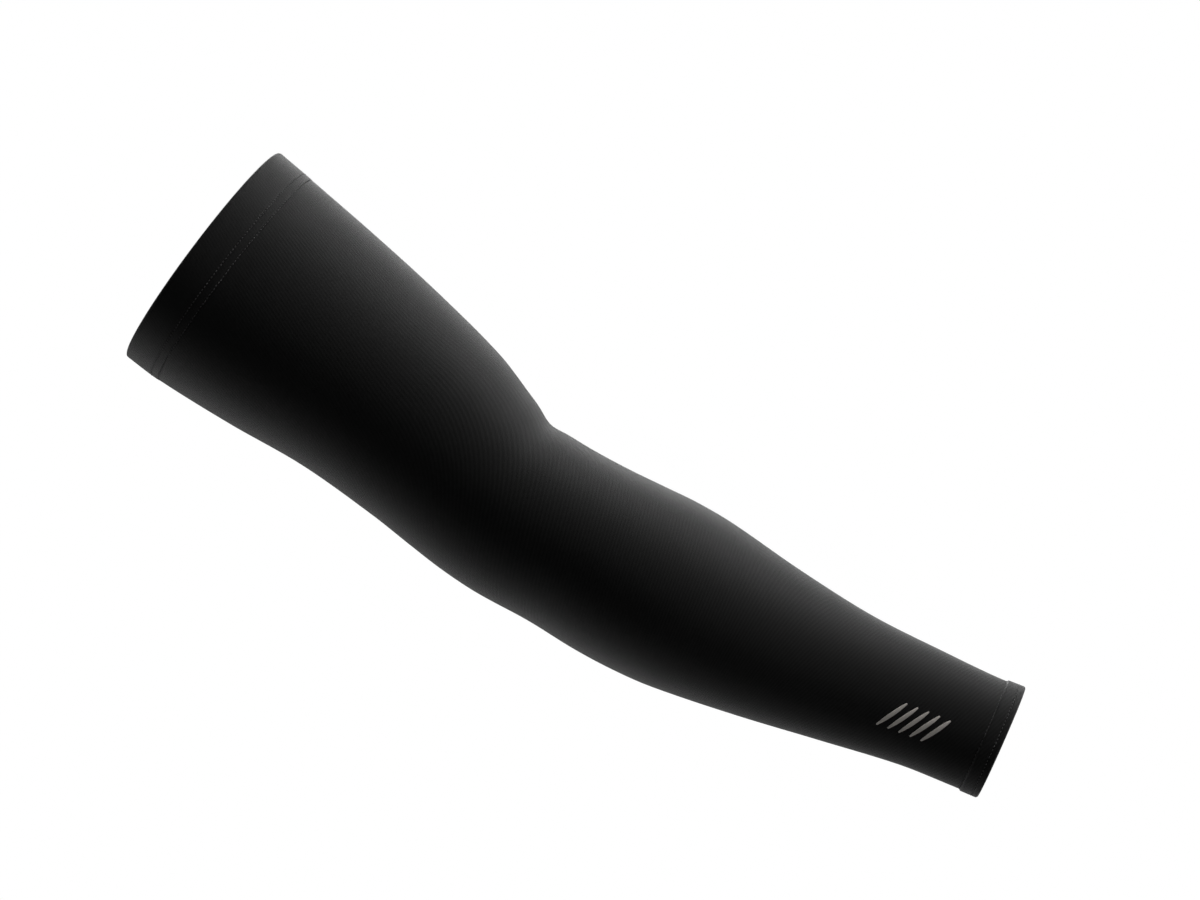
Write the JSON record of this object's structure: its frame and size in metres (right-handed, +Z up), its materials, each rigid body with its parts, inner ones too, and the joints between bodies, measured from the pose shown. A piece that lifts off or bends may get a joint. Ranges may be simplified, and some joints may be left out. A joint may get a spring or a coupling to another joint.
{
  "type": "arm warmer",
  "caption": "Pull-on knitted arm warmer for a right arm, in its worn shape with a slight bend at the elbow, stitched hems at both openings and reflective bars above the wrist.",
  "frame": {"origin": "centre of the upper arm's opening, where the upper arm holds the sleeve up", "axes": "+Z up along the straight line from the wrist's opening to the upper arm's opening, +X towards the crook of the elbow, -X towards the point of the elbow, -Y towards the outer side of the arm, +Y towards the body and the long seam"},
  "size_m": [0.128, 0.1008, 0.4496],
  "materials": {
    "knit": "fine smooth near-black knit with a soft sheen",
    "hem_knit": "the same near-black knit, folded over and sewn with two rows of stitches",
    "thread": "dull near-black overlocked edge and sewing thread",
    "reflective_film": "warm grey heat-pressed reflective film, satin"
  },
  "bodies": {
    "root": {"upper_arm_hem": "hem_knit", "sleeve_panel": "knit", "seam_allowance": "thread", "wrist_hem": "hem_knit", "reflective_bar_1": "reflective_film", "reflective_bar_2": "reflective_film", "reflective_bar_3": "reflective_film", "reflective_bar_4": "reflective_film", "reflective_bar_5": "reflective_film"}
  },
  "joints": []
}
